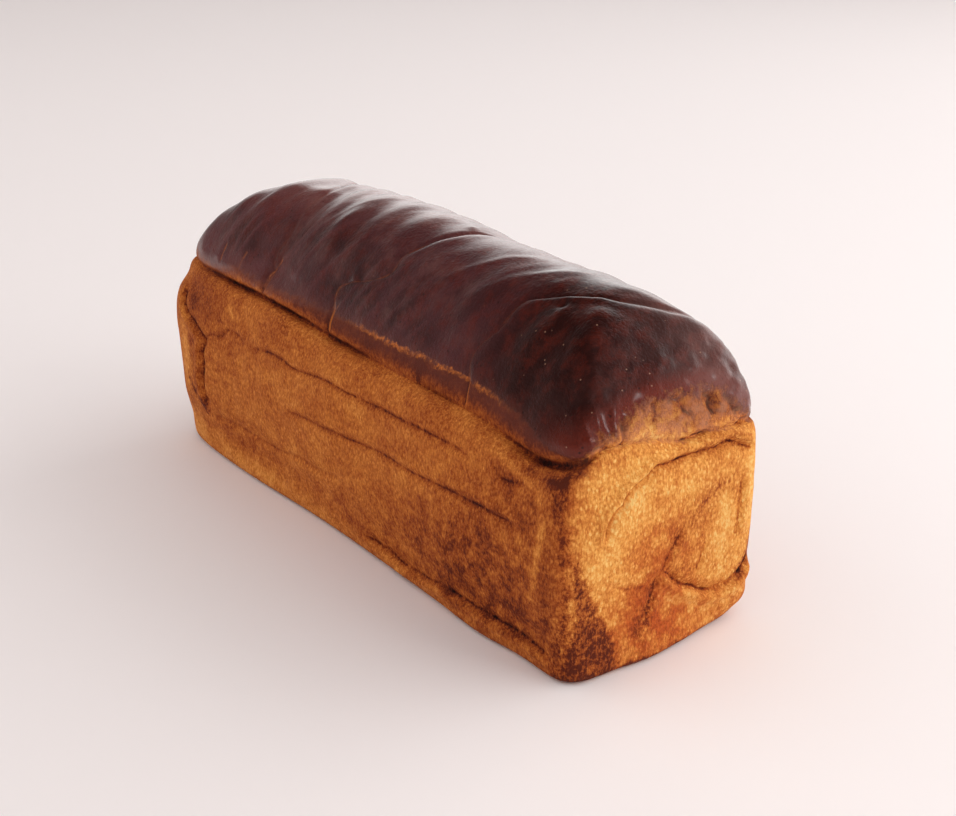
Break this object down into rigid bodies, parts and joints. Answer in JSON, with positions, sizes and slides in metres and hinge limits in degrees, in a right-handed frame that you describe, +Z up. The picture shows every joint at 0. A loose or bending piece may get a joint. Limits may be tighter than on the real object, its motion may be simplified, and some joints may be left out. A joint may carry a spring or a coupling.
{
  "type": "brioche loaf",
  "caption": "Brioche loaf baked in a long tin: golden creased sides, a crack at the rim and a dark glazed dome.",
  "frame": {"origin": "middle of the loaf's box, on the surface that it stands on", "axes": "+Z up, +X along the loaf towards its paler end, -Y towards the long front side"},
  "size_m": [0.2838, 0.0954, 0.1265],
  "materials": {
    "crust": "satin"
  },
  "bodies": {
    "root": {"loaf": "crust"}
  },
  "joints": []
}
